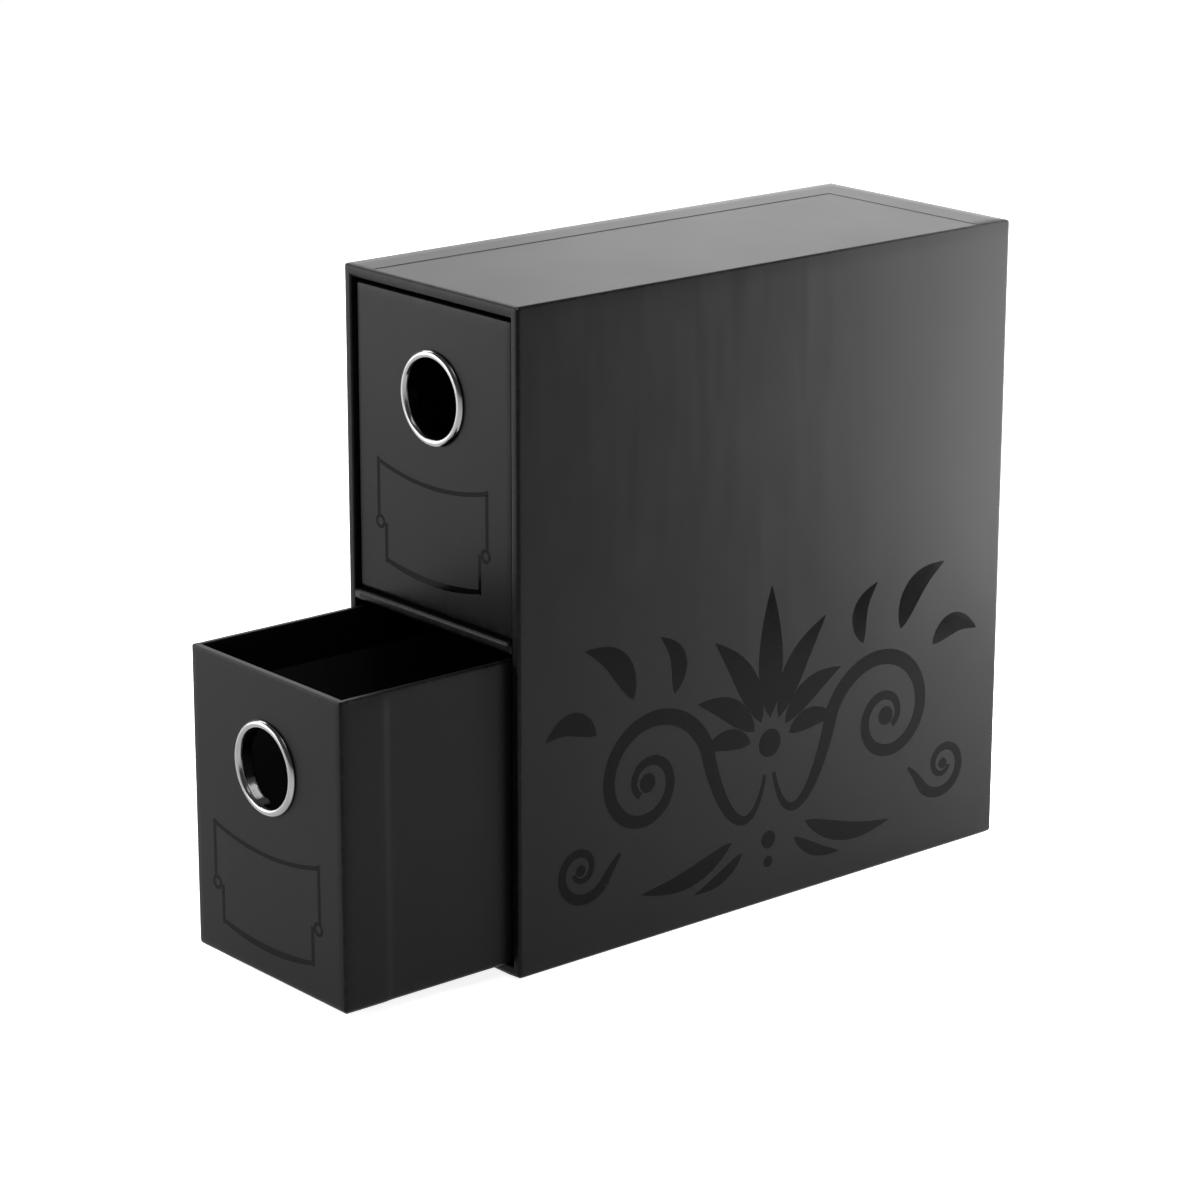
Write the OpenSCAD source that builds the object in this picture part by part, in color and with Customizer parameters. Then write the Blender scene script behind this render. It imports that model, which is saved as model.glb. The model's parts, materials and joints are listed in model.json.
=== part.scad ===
// Two-drawer card storage box.
// A greyboard case with a fixed shelf is wrapped in cover paper, and holds two wrapped
// greyboard drawers, each pulled by a chromed finger ring.
// X runs across the box, +Y from its front to its back, +Z up. The origin is the centre of
// the case's underside. Sizes are in millimetres. The lower drawer is drawn pulled out.

/* [Case] */
// Outer width of the case
case_w = 90; // [80:1:110]
// Outer depth of the case
case_d = 220; // [180:1:260]
// Outer height of the case
case_h = 225; // [200:1:250]
// Thickness of the case's greyboard
case_board_t = 3; // [2:0.1:4]
// Outer radius where the cover paper folds over a case edge
case_fold_r = 0.9; // [0.7:0.1:1.2]

/* [Cover paper] */
// Thickness of the cover and lining paper
paper_t = 0.3; // [0.2:0.05:0.35]
// Width of paper turned in at an opening or lapped round an edge of the case
turn_in = 15; // [8:1:20]
// Bare margin between the edge of a lapped or pasted sheet and the edge of the case
sheet_margin = 1.5; // [1.5:0.1:4]

/* [Drawers] */
// Thickness of the drawers' greyboard
drawer_board_t = 2; // [1.5:0.1:2.5]
// Gap on each side of a drawer's front
side_gap = 0.8; // [0.4:0.1:1.5]
// Gap over a drawer
top_gap = 2; // [1:0.1:4]
// Running gap under a drawer
floor_gap = 0.3; // [0.2:0.05:0.5]
// Gap behind a closed drawer
back_gap = 0.4; // [0.3:0.1:2]
// Depth of a closed drawer's front behind the case's front edge
front_recess = 1.5; // [0.5:0.1:4]
// How far the lower drawer is pulled out
lower_pull = 69; // [0:1:190]
// Outer radius of a drawer's upright corners
drawer_corner_r = 1.2; // [0.9:0.1:1.6]
// Outer radius of the fold along a drawer's bottom edges
drawer_bottom_r = 2; // [1.2:0.1:2.4]
// Outer radius of the fold over a drawer's rim
rim_r = 0.8; // [0.6:0.1:1]
// Width of the front sheet's laps round the sides and under the bottom
front_lap = 18; // [10:1:25]
// Height of the rim above the top of those side laps
lap_drop = 1; // [0.9:0.1:3]

/* [Finger rings] */
// Radius of the finger hole
ring_bore_r = 13; // [11:0.5:15]
// Metal thickness of the ring's barrel
ring_wall = 0.6; // [0.4:0.1:1]
// Radius of the ring's half-round front bead
ring_bead_r = 1.5; // [1:0.05:1.8]
// Radius of the barrel's rolled end
ring_roll_r = 0.9; // [0.7:0.05:1.2]
// Height of the rim above the ring's centre
ring_drop = 32; // [28:1:45]
// Radial gap between the barrel and the hole in the front
ring_hole_gap = 0.3; // [0.2:0.05:0.6]
// Outer radius of the washer behind the front
washer_r = 17; // [16:0.5:19]
// Thickness of the washer
washer_t = 0.8; // [0.5:0.1:1.2]
// Radial gap between the barrel and the washer
washer_fit = 0.1; // [0.05:0.05:0.2]

/* [Hidden] */
$fn = 96;
// How far a cutter runs past the face that it cuts
over = 1;

// Case: boards stop short of the outside by one sheet, and by two at the top and the base
half_w = case_w / 2;
front_y = -case_d / 2;
back_y = case_d / 2;
core_x = half_w - paper_t;
core_front_y = front_y + paper_t;
core_back_y = back_y - paper_t;
core_low_z = 2 * paper_t;
core_high_z = case_h - 2 * paper_t;
core_fold_r = case_fold_r - paper_t;
// Case: faces of the boards inside, then the clear faces of the paper on them
inner_x = core_x - case_board_t;
inner_back_y = core_back_y - case_board_t;
inner_low_z = core_low_z + case_board_t;
inner_high_z = core_high_z - case_board_t;
clear_x = inner_x - paper_t;
clear_back_y = inner_back_y - paper_t;
clear_low_z = inner_low_z + paper_t;
clear_high_z = inner_high_z - paper_t;
turn_in_y = front_y + turn_in;
// Case: where sheets end on top and under the base, and where their mitres end at the mouth
lap_x = half_w - turn_in;
lap_y = back_y - turn_in;
lap_z = case_h - paper_t;
sheet_x = half_w - sheet_margin;
sheet_front_y = front_y + sheet_margin;
sheet_back_y = back_y - sheet_margin;
mitre_low_z = sheet_margin + paper_t;
mitre_high_z = case_h - mitre_low_z;
// Case: the shelf divides the inside into two equal cells
shelf_t = case_board_t + 2 * paper_t;
cell_h = (clear_high_z - clear_low_z - shelf_t) / 2;
shelf_low_z = clear_low_z + cell_h;
shelf_high_z = shelf_low_z + shelf_t;

// Drawer in its own place: front face at y = 0, underside at z = 0
drawer_half_w = clear_x - side_gap;
drawer_d = clear_back_y - front_y - front_recess - back_gap;
drawer_h = cell_h - floor_gap - top_gap;
// Drawer: outside of the body sheet, then of the boards, then the inside of both
body_x = drawer_half_w - paper_t;
board_x = body_x - paper_t;
board_back_y = drawer_d - paper_t;
board_low_z = 2 * paper_t;
board_high_z = drawer_h - paper_t;
wall_x = board_x - drawer_board_t;
wall_front_y = paper_t + drawer_board_t;
wall_back_y = board_back_y - drawer_board_t;
floor_z = board_low_z + drawer_board_t;
room_x = wall_x - paper_t;
room_front_y = wall_front_y + paper_t;
room_back_y = wall_back_y - paper_t;
room_low_z = floor_z + paper_t;
rim_turn_z = drawer_h - turn_in;
lap_top_z = drawer_h - lap_drop;
closed_y = front_y + front_recess;

// Finger ring: the barrel clamps the front between its bead and the washer
ring_z = drawer_h - ring_drop;
barrel_r = ring_bore_r + ring_wall;
ring_hole_r = barrel_r + ring_hole_gap;
barrel_l = room_front_y + washer_t;

// Shared forms

// A block between two opposite corners
module box(low, high) {
    translate(low) cube(high - low);
}

// A rectangle between two corners, with one radius at its lower corners and one at its upper
module soft_rect(low, high, low_r, high_r) {
    size = high - low;
    translate([low[0], low[1] + low_r]) square([size[0], size[1] - low_r - high_r]);
    translate([low[0] + low_r, low[1]]) square([size[0] - 2 * low_r, size[1] / 2]);
    translate([low[0] + high_r, low[1] + size[1] / 2]) square([size[0] - 2 * high_r, size[1] / 2]);
    for (x = [low[0] + low_r, high[0] - low_r])
        translate([x, low[1] + low_r]) circle(low_r);
    for (x = [low[0] + high_r, high[0] - high_r])
        translate([x, high[1] - high_r]) circle(high_r);
}

// A prism along Y, from a shape drawn in the X-Z plane
module along_y(y0, y1) {
    translate([0, y1, 0]) rotate([90, 0, 0]) linear_extrude(y1 - y0) children();
}

// A prism along X, from a shape drawn in the Y-Z plane
module along_x(x0, x1) {
    translate([x0, 0, 0]) rotate([90, 0, 90]) linear_extrude(x1 - x0) children();
}

// A block with its upright, lower and upper edges folded to three radii
module soft_block(low, high, upright_r, low_r, high_r) {
    intersection() {
        translate([0, 0, low[2]]) linear_extrude(high[2] - low[2])
            soft_rect([low[0], low[1]], [high[0], high[1]], upright_r, upright_r);
        along_y(low[1], high[1])
            soft_rect([low[0], low[2]], [high[0], high[2]], low_r, high_r);
        along_x(low[0], high[0])
            soft_rect([low[1], low[2]], [high[1], high[2]], low_r, high_r);
    }
}

// Case

// The case's boards as one closed block, with their outer edges eased for the paper
module case_core() {
    soft_block([-core_x, core_front_y, core_low_z], [core_x, core_back_y, core_high_z],
        core_fold_r, core_fold_r, core_fold_r);
}

// One board of the case, cut from the eased block
module case_board(low, high) {
    color("darkgray") intersection() {
        case_core();
        box(low, high);
    }
}

module case_left_board() {
    case_board([-core_x, core_front_y, core_low_z], [-inner_x, core_back_y, core_high_z]);
}

module case_right_board() {
    case_board([inner_x, core_front_y, core_low_z], [core_x, core_back_y, core_high_z]);
}

module case_top_board() {
    case_board([-inner_x, core_front_y, inner_high_z], [inner_x, inner_back_y, core_high_z]);
}

module case_bottom_board() {
    case_board([-inner_x, core_front_y, core_low_z], [inner_x, inner_back_y, inner_low_z]);
}

module case_back_board() {
    case_board([-inner_x, inner_back_y, core_low_z], [inner_x, core_back_y, core_high_z]);
}

module shelf_board() {
    color("darkgray") along_x(-clear_x, clear_x) intersection() {
        soft_rect([core_front_y, shelf_low_z + paper_t],
            [back_y, shelf_high_z - paper_t], core_fold_r, core_fold_r);
        translate([front_y, shelf_low_z]) square([clear_back_y - front_y, shelf_t]);
    }
}

// The shelf's paper runs over its top, round its front edge and back along its underside
module shelf_wrap() {
    color("dimgray") along_x(-clear_x, clear_x) difference() {
        intersection() {
            soft_rect([front_y, shelf_low_z], [back_y, shelf_high_z], case_fold_r, case_fold_r);
            translate([front_y, shelf_low_z]) square([clear_back_y - front_y, shelf_t]);
        }
        soft_rect([core_front_y, shelf_low_z + paper_t],
            [back_y, shelf_high_z - paper_t], core_fold_r, core_fold_r);
    }
}

// One layer of paper over the whole case, turned in on all four sides of its mouth
module case_paper() {
    difference() {
        union() {
            difference() {
                soft_block([-half_w, front_y, paper_t], [half_w, back_y, lap_z],
                    case_fold_r, case_fold_r, case_fold_r);
                case_core();
            }
            box([-inner_x, front_y, inner_low_z], [inner_x, turn_in_y, inner_high_z]);
        }
        box([-clear_x, front_y - over, clear_low_z], [clear_x, back_y + over, clear_high_z]);
    }
}

// The part of that layer that the main sheet makes, between two mitres at the mouth
module main_region() {
    along_y(front_y - over, sheet_back_y) polygon([
        [-clear_x, clear_high_z], [-sheet_x, mitre_high_z], [-sheet_x, case_h],
        [half_w + over, case_h], [half_w + over, 0], [sheet_x, 0],
        [sheet_x, mitre_low_z], [clear_x, clear_low_z], [clear_x, clear_high_z]
    ]);
}

// The part that the base sheet makes, between the two lower mitres
module base_region() {
    along_y(front_y - over, sheet_back_y) polygon([
        [-sheet_x, 0], [-sheet_x, mitre_low_z], [-clear_x, clear_low_z],
        [clear_x, clear_low_z], [sheet_x, mitre_low_z], [sheet_x, 0]
    ]);
}

// The turn-ins under the base, at the right side, the left side and the back
module right_turn_in() {
    box([lap_x, sheet_front_y, paper_t], [sheet_x, sheet_back_y, core_low_z]);
}

module left_turn_in() {
    box([-sheet_x, sheet_front_y, paper_t], [-lap_x, sheet_back_y, core_low_z]);
}

module back_turn_in() {
    box([-sheet_x, lap_y, paper_t], [lap_x, sheet_back_y, core_low_z]);
}

// The main sheet covers the right side and the top, and turns under the base at the right
module case_main_wrap() {
    color("dimgray") union() {
        intersection() {
            case_paper();
            main_region();
        }
        right_turn_in();
    }
}

// The back sheet covers the left side and the back, steps up on to the main sheet where it
// laps on to the top, and turns under the base
module case_back_wrap() {
    step_x = sheet_x + paper_t;
    step_y = sheet_back_y + paper_t;
    color("dimgray") difference() {
        union() {
            difference() {
                case_paper();
                main_region();
                base_region();
            }
            box([-step_x, sheet_front_y, core_high_z], [-lap_x, step_y, case_h]);
            box([-step_x, lap_y, core_high_z], [sheet_x, step_y, case_h]);
            left_turn_in();
            back_turn_in();
        }
        box([-sheet_x, front_y, core_high_z], [half_w, sheet_back_y, lap_z]);
    }
}

// The base sheet closes the underside over the turn-ins, with the infill that levels them,
// and folds up over the bottom board's front edge into the lower cell
module case_base_sheet() {
    color("dimgray") difference() {
        intersection() {
            along_x(-sheet_x, sheet_x) difference() {
                soft_rect([front_y, 0], [back_y, case_h], case_fold_r, case_fold_r);
                intersection() {
                    soft_rect([core_front_y, core_low_z], [back_y, case_h], core_fold_r, core_fold_r);
                    translate([core_front_y, core_low_z]) square([case_d, case_board_t]);
                }
                translate([turn_in_y, core_low_z]) square([case_d, case_h]);
            }
            base_region();
        }
        right_turn_in();
        left_turn_in();
        back_turn_in();
    }
}

// Lining of the lower cell: its floor, sides and back, up to the top of the shelf
module lower_cell_lining() {
    color("black") difference() {
        box([-inner_x, turn_in_y, inner_low_z], [inner_x, inner_back_y, shelf_high_z]);
        box([-clear_x, turn_in_y - over, clear_low_z], [clear_x, clear_back_y, shelf_high_z + over]);
    }
}

// Lining of the upper cell: its sides, back and ceiling, down to the top of the shelf
module upper_cell_lining() {
    color("black") difference() {
        box([-inner_x, turn_in_y, shelf_high_z], [inner_x, inner_back_y, inner_high_z]);
        box([-clear_x, turn_in_y - over, shelf_high_z - over], [clear_x, clear_back_y, clear_high_z]);
    }
}

// Drawer

// A drawer's body behind its front panel, at a given depth inside the body sheet
module body_block(inset) {
    intersection() {
        soft_block([inset - body_x, -front_lap, paper_t + inset],
            [body_x - inset, drawer_d - inset, drawer_h - inset],
            drawer_corner_r - paper_t - inset, drawer_bottom_r - paper_t - inset, rim_r - inset);
        box([-body_x, wall_front_y, 0], [body_x, drawer_d, drawer_h]);
    }
}

// The front panel inside the front sheet
module front_block() {
    intersection() {
        soft_block([-body_x, paper_t, paper_t], [body_x, drawer_d, board_high_z],
            drawer_corner_r - paper_t, drawer_bottom_r - paper_t, rim_r - paper_t);
        box([-body_x, 0, 0], [body_x, wall_front_y, drawer_h]);
    }
}

// The outside of the front sheet, carried on to the back
module drawer_outside() {
    soft_block([-drawer_half_w, 0, 0], [drawer_half_w, drawer_d + front_lap, drawer_h],
        drawer_corner_r, drawer_bottom_r, rim_r);
}

// The clear room inside the drawer
module drawer_room(low_z) {
    box([-room_x, room_front_y, low_z], [room_x, room_back_y, drawer_h + over]);
}

// The hole for the ring's barrel
module ring_hole() {
    translate([0, -over, ring_z]) rotate([-90, 0, 0]) cylinder(r = ring_hole_r, h = room_front_y + 2 * over);
}

// The front sheet's turn-in behind the front panel, mitred to the body sheet's at each end
module front_turn_in() {
    translate([0, 0, rim_turn_z]) linear_extrude(turn_in) polygon([
        [-wall_x, wall_front_y], [wall_x, wall_front_y], [room_x, room_front_y], [-room_x, room_front_y]
    ]);
}

// One board of the drawer's body, cut from the eased block
module drawer_board(low, high) {
    color("darkgray") intersection() {
        body_block(paper_t);
        box(low, high);
    }
}

module drawer_front_board() {
    color("darkgray") difference() {
        front_block();
        ring_hole();
    }
}

module drawer_back_board() {
    drawer_board([-wall_x, wall_back_y, board_low_z], [wall_x, board_back_y, board_high_z]);
}

module drawer_left_board() {
    drawer_board([-board_x, wall_front_y, board_low_z], [-wall_x, board_back_y, board_high_z]);
}

module drawer_right_board() {
    drawer_board([wall_x, wall_front_y, board_low_z], [board_x, board_back_y, board_high_z]);
}

module drawer_bottom_board() {
    drawer_board([-wall_x, wall_front_y, board_low_z], [wall_x, wall_back_y, floor_z]);
}

// The front sheet covers the front panel, laps round both sides and under the bottom,
// and turns in over the front's rim
module drawer_front_wrap() {
    color("dimgray") difference() {
        union() {
            difference() {
                intersection() {
                    drawer_outside();
                    box([-drawer_half_w, 0, 0], [drawer_half_w, front_lap, drawer_h]);
                }
                front_block();
                body_block(0);
                // behind the front panel the side laps stop short of the rim
                for (x = [-drawer_half_w, wall_x])
                    box([x, wall_front_y, lap_top_z], [x + drawer_half_w - wall_x, front_lap, drawer_h]);
            }
            front_turn_in();
        }
        ring_hole();
    }
}

// The body sheet covers the sides, the back and the underside, and turns in over their rim
module drawer_body_wrap() {
    color("dimgray") difference() {
        body_block(0);
        difference() {
            body_block(paper_t);
            box([-wall_x, wall_front_y, rim_turn_z], [wall_x, wall_back_y, drawer_h]);
        }
        drawer_room(rim_turn_z);
        front_turn_in();
    }
}

// The lining covers the floor and the walls up to the turned-in paper
module drawer_lining() {
    color("black") difference() {
        box([-wall_x, wall_front_y, floor_z], [wall_x, wall_back_y, rim_turn_z]);
        drawer_room(room_low_z);
        ring_hole();
    }
}

// The ring is one turned-over tube: a half-round bead in front, a barrel, and a rolled end
// behind the washer
module drawer_finger_ring() {
    color("silver") translate([0, 0, ring_z]) rotate([90, 0, 0]) rotate_extrude() {
        intersection() {
            translate([ring_bore_r + ring_bead_r, 0]) circle(ring_bead_r);
            translate([ring_bore_r, 0]) square(2 * ring_bead_r);
        }
        translate([ring_bore_r, -barrel_l]) square([ring_wall, barrel_l]);
        intersection() {
            translate([ring_bore_r + ring_roll_r, -barrel_l]) circle(ring_roll_r);
            translate([ring_bore_r, -barrel_l - 2 * ring_roll_r]) square(2 * ring_roll_r);
        }
    }
}

// The washer spreads the rolled end's grip over the lining
module drawer_ring_washer() {
    inner_r = barrel_r + washer_fit;
    color("silver") translate([0, room_front_y, ring_z]) rotate([-90, 0, 0]) difference() {
        cylinder(r = washer_r, h = washer_t);
        translate([0, 0, -over]) cylinder(r = inner_r, h = washer_t + 2 * over);
    }
}

// Places

module in_upper_cell() {
    translate([0, closed_y, shelf_high_z + floor_gap]) children();
}

module in_lower_cell() {
    translate([0, closed_y - lower_pull, clear_low_z + floor_gap]) children();
}

case_left_board();
case_right_board();
case_top_board();
case_bottom_board();
case_back_board();
shelf_board();
shelf_wrap();
case_main_wrap();
case_back_wrap();
case_base_sheet();
upper_cell_lining();
lower_cell_lining();
in_upper_cell() drawer_front_board();  // upper_front_board
in_upper_cell() drawer_back_board();  // upper_back_board
in_upper_cell() drawer_left_board();  // upper_left_board
in_upper_cell() drawer_right_board();  // upper_right_board
in_upper_cell() drawer_bottom_board();  // upper_bottom_board
in_upper_cell() drawer_front_wrap();  // upper_front_wrap
in_upper_cell() drawer_body_wrap();  // upper_body_wrap
in_upper_cell() drawer_lining();  // upper_lining
in_upper_cell() drawer_finger_ring();  // upper_finger_ring
in_upper_cell() drawer_ring_washer();  // upper_ring_washer
in_lower_cell() drawer_front_board();  // lower_front_board
in_lower_cell() drawer_back_board();  // lower_back_board
in_lower_cell() drawer_left_board();  // lower_left_board
in_lower_cell() drawer_right_board();  // lower_right_board
in_lower_cell() drawer_bottom_board();  // lower_bottom_board
in_lower_cell() drawer_front_wrap();  // lower_front_wrap
in_lower_cell() drawer_body_wrap();  // lower_body_wrap
in_lower_cell() drawer_lining();  // lower_lining
in_lower_cell() drawer_finger_ring();  // lower_finger_ring
in_lower_cell() drawer_ring_washer();  // lower_ring_washer
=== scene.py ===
import json
import math

import bpy
from mathutils import Matrix, Vector, noise

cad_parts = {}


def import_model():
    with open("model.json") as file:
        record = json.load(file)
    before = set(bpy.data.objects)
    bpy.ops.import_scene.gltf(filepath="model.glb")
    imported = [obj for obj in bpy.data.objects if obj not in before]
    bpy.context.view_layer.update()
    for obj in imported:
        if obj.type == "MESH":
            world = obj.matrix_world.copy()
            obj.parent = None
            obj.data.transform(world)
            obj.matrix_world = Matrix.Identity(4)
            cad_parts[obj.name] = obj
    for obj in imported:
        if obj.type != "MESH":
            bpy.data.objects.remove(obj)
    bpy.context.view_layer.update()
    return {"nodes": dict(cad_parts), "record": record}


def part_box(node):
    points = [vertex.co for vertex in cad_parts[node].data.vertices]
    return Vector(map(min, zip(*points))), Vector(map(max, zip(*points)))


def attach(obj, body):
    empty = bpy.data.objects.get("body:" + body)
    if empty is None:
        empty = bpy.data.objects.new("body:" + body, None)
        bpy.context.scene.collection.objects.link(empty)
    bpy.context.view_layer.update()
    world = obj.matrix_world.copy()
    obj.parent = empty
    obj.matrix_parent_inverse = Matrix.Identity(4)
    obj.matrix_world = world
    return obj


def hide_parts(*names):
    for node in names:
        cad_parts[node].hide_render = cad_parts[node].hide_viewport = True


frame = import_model()

# Looks of a two-drawer card storage box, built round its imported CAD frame. The cover sheets, finger
# rings, washers and spot print are new meshes that stand for the CAD pieces or lie on them. Boards and
# linings keep their CAD shapes and get materials. Lengths are metres. X runs across the box, +Y from
# its front to its back, +Z up.

MM = 0.001

# Paper: a sheet's thickness and its drawn depth, the share of it that a lap rises, and its dents
PAPER = 0.3 * MM
SHEET_DEPTH = 0.8 * PAPER
LAP_RISE_SHARE = 0.4
WAVE_HEIGHT = 0.05 * MM
WAVE_LENGTH = 28 * MM
FOLD_WAVE_HEIGHT = 0.04 * MM
FOLD_WAVE_LENGTH = 9 * MM
# Folds: radii of the case's edges and of the drawers' edges
CASE_FOLD_R = 1.15 * MM
CASE_INNER_R = 0.8 * MM
DRAWER_CORNER_R = 1.2 * MM
DRAWER_BOTTOM_R = 2.0 * MM
DRAWER_RIM_R = 0.7 * MM
ARC_STEPS = 6
TIGHT_R = 0.1 * MM
# Spacing of a sheet's rows: on plain stretches, on a drawer's outside, along the shelf, beside an edge
MESH_STEP = 5 * MM
FINE_STEP = 2.3 * MM
SHELF_STEP = 3 * MM
NEAR = 0.5 * MM
HAIR = 0.25 * MM
# A face is level where its normal's share along Z passes this
LEVEL = 0.9
# Print: thickness of the spot varnish over the paper, its root in it, and one shape's rise on the next
PRINT_LIFT = 0.03 * MM
PRINT_ROOT = 0.06 * MM
PRINT_STEP = 0.0002 * MM


# Frame: the places that the case's sheets take from the CAD pieces

back_low, back_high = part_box("case_back_wrap")
main_low, main_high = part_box("case_main_wrap")
base_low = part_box("case_base_sheet")[0]
shelf_low, shelf_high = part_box("shelf_wrap")
cell_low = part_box("upper_cell_lining")[0]

case_wall = back_high.x - shelf_high.x
turn_in = cell_low.y - back_low.y
sheet_margin = main_low.x - back_low.x
lap_x = back_low.x + turn_in
lap_y = back_high.y - turn_in
lap_rise = LAP_RISE_SHARE * (back_high.z - main_high.z)
mounts = {mount["name"]: mount for mount in frame["record"]["mounts"]}


# Meshes

def make_object(name, verts, faces, smooth=True, folds=None, sharp=()):
    """A mesh object at the origin, with an optional fold attribute and some edges kept sharp."""
    mesh = bpy.data.meshes.new(name)
    mesh.from_pydata([tuple(v) for v in verts], [], [tuple(f) for f in faces])
    mesh.validate()
    mesh.polygons.foreach_set("use_smooth", [smooth] * len(mesh.polygons))
    if folds is not None:
        mesh.attributes.new("fold", "FLOAT", "POINT").data.foreach_set("value", folds)
    keys = {frozenset(pair) for pair in sharp}
    for edge in mesh.edges:
        if frozenset(edge.vertices) in keys:
            edge.use_edge_sharp = True
    obj = bpy.data.objects.new(name, mesh)
    bpy.context.scene.collection.objects.link(obj)
    return obj


def finish_piece(obj, body, slot, material, *stands_for):
    """Puts a piece on its body, gives it its material, and hides what it stands for."""
    obj.data.materials.append(material)
    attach(obj, body)
    if stands_for:
        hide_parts(*stands_for)


def centre_of(verts, face):
    """The mean of a face's vertices."""
    return sum((verts[i] for i in face), Vector()) / len(face)


def vertex_normals(verts, faces):
    """Area-weighted vertex normals of a mesh given as lists."""
    normals = [Vector((0, 0, 0)) for _ in verts]
    for f in faces:
        n = Vector((0, 0, 0))
        for i in range(1, len(f) - 1):
            n += (verts[f[i]] - verts[f[0]]).cross(verts[f[i + 1]] - verts[f[0]])
        for i in f:
            normals[i] += n
    return [n.normalized() for n in normals]


def thicken(verts, normals, faces, depth):
    """A closed sheet: the given faces, a copy of them below, and walls along the open edges."""
    count = len(verts)
    solid = list(verts) + [v - n * depth for v, n in zip(verts, normals)]
    below = [tuple(count + i for i in reversed(f)) for f in faces]
    edges = {(f[i], f[(i + 1) % len(f)]) for f in faces for i in range(len(f))}
    rims = [(a, b) for a, b in sorted(edges) if (b, a) not in edges]
    walls = [(b, a, count + a, count + b) for a, b in rims]
    sharp = rims + [(count + a, count + b) for a, b in rims]
    return solid, list(faces) + below + walls, sharp


def used_part(verts, faces, *lists):
    """The vertices that some faces use, with the faces and any per-vertex lists renumbered."""
    used = sorted({i for f in faces for i in f})
    place = {old: new for new, old in enumerate(used)}
    picked = [[values[i] for i in used] for values in lists]
    return [verts[i] for i in used], [tuple(place[i] for i in f) for f in faces], *picked


def dip(point, length, depth):
    """A dent of no more than a depth, from smooth noise of a wavelength."""
    return (0.5 + 0.5 * noise.noise(point / length)) * depth


def wave(point, folded=0.0):
    """How far the paper lies below its flat place: room for the print, and slow and short dents."""
    slow = dip(point, WAVE_LENGTH, WAVE_HEIGHT)
    return -PRINT_LIFT - slow - folded * dip(point, FOLD_WAVE_LENGTH, FOLD_WAVE_HEIGHT)


def evenly(start, end, step):
    """Values from start to end, both included, about a step apart."""
    count = max(1, round(abs(end - start) / step))
    return [start + (end - start) * i / count for i in range(count + 1)]


def ramp(x, start, end):
    """0 at start, 1 at end, and smooth between."""
    t = min(1.0, max(0.0, (x - start) / (end - start)))
    return t * t * (3 - 2 * t)


# Trays: paper over an open box, drawn as rows of height round a rounded rectangle

QUARTER = [math.pi / 2 * i / ARC_STEPS for i in range(ARC_STEPS + 1)]
BASE_CORE = 2 * MM


def stations(sides):
    """Stations round a rectangle: each side's shares along its straight part, then its corner."""
    found = []
    for k, shares in enumerate(sides):
        found += [("side", k, t) for t in shares]
        found += [("corner", k, i / ARC_STEPS) for i in range(1, ARC_STEPS)]
    return found


def on_loop(station, half_u, half_v, radius):
    """A station's place on a rectangle whose corners have the given radius."""
    kind, k, t = station
    u, v = half_u - radius, half_v - radius
    corners = [(-u, -v), (u, -v), (u, v), (-u, v)]
    u1, v1 = corners[(k + 1) % 4]
    if kind == "corner":
        angle = math.pi / 2 * (k - 1 + t)
        return u1 + radius * math.cos(angle), v1 + radius * math.sin(angle)
    u0, v0 = corners[k]
    out_u, out_v = [(0, -1), (1, 0), (0, 1), (-1, 0)][k]
    return u0 + (u1 - u0) * t + out_u * radius, v0 + (v1 - v0) * t + out_v * radius


def tray_rows(depth, wall, base_r, rim_r, inner_r, base, outside, inside):
    """Rows (inset, height, folded) over the base, up the outside, over the rim and down inside."""
    rows = [(inset, 0.0, 0.0) for inset in base]
    rows += [(base_r * (1 - math.sin(a)), base_r * (1 - math.cos(a)), 1.0) for a in QUARTER]
    rows += [(0.0, h, 0.0) for h in outside]
    rows += [(rim_r * (1 - math.cos(a)), depth - rim_r * (1 - math.sin(a)), 1.0) for a in QUARTER]
    rows += [(wall - inner_r * (1 - math.sin(a)), depth - inner_r * (1 - math.cos(a)), 1.0)
             for a in QUARTER]
    rows += [(wall, h, 0.0) for h in inside]
    return rows


def tray(rows, ring, half_u, half_v, corner_r, place):
    """Vertices, faces, face places (row, station) and fold values of a tray with a closed base."""
    verts, folds = [], []
    for inset, height, folded in rows:
        radius = max(corner_r - inset, TIGHT_R)
        for s in ring:
            u, v = on_loop(s, half_u - inset, half_v - inset, radius)
            verts.append(place(u, v, height))
            folds.append(1.0 if s[0] == "corner" and height > 0 else folded)
    n = len(ring)
    faces, where = [tuple(reversed(range(n)))], [(-1, None)]
    for i in range(len(rows) - 1):
        for j in range(n):
            k = (j + 1) % n
            faces.append((i * n + j, i * n + k, (i + 1) * n + k, (i + 1) * n + j))
            where.append((i, ring[j]))
    return verts, faces, where, folds


def displaced(verts, faces, folds, rise):
    """The vertices moved out along their normals by the paper's wave and its laps, and new normals."""
    normals = vertex_normals(verts, faces)
    moved = [v + n * (rise(v, n) + (0 if n.z < -LEVEL else wave(v, f)))
             for v, n, f in zip(verts, normals, folds)]
    return moved, vertex_normals(moved, faces)


def sheets_of(verts, normals, faces, owners, folds):
    """One closed paper object per owner's name, cut from a tray's faces."""
    made = {}
    for name in sorted(set(owners)):
        mine = [f for f, owner in zip(faces, owners) if owner == name]
        part, part_faces, part_normals, part_folds = used_part(verts, mine, normals, folds)
        solid, solid_faces, sharp = thicken(part, part_normals, part_faces, SHEET_DEPTH)
        made[name] = make_object(name, solid, solid_faces, folds=part_folds * 2, sharp=sharp)
    return made


# Case sheets

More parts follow.
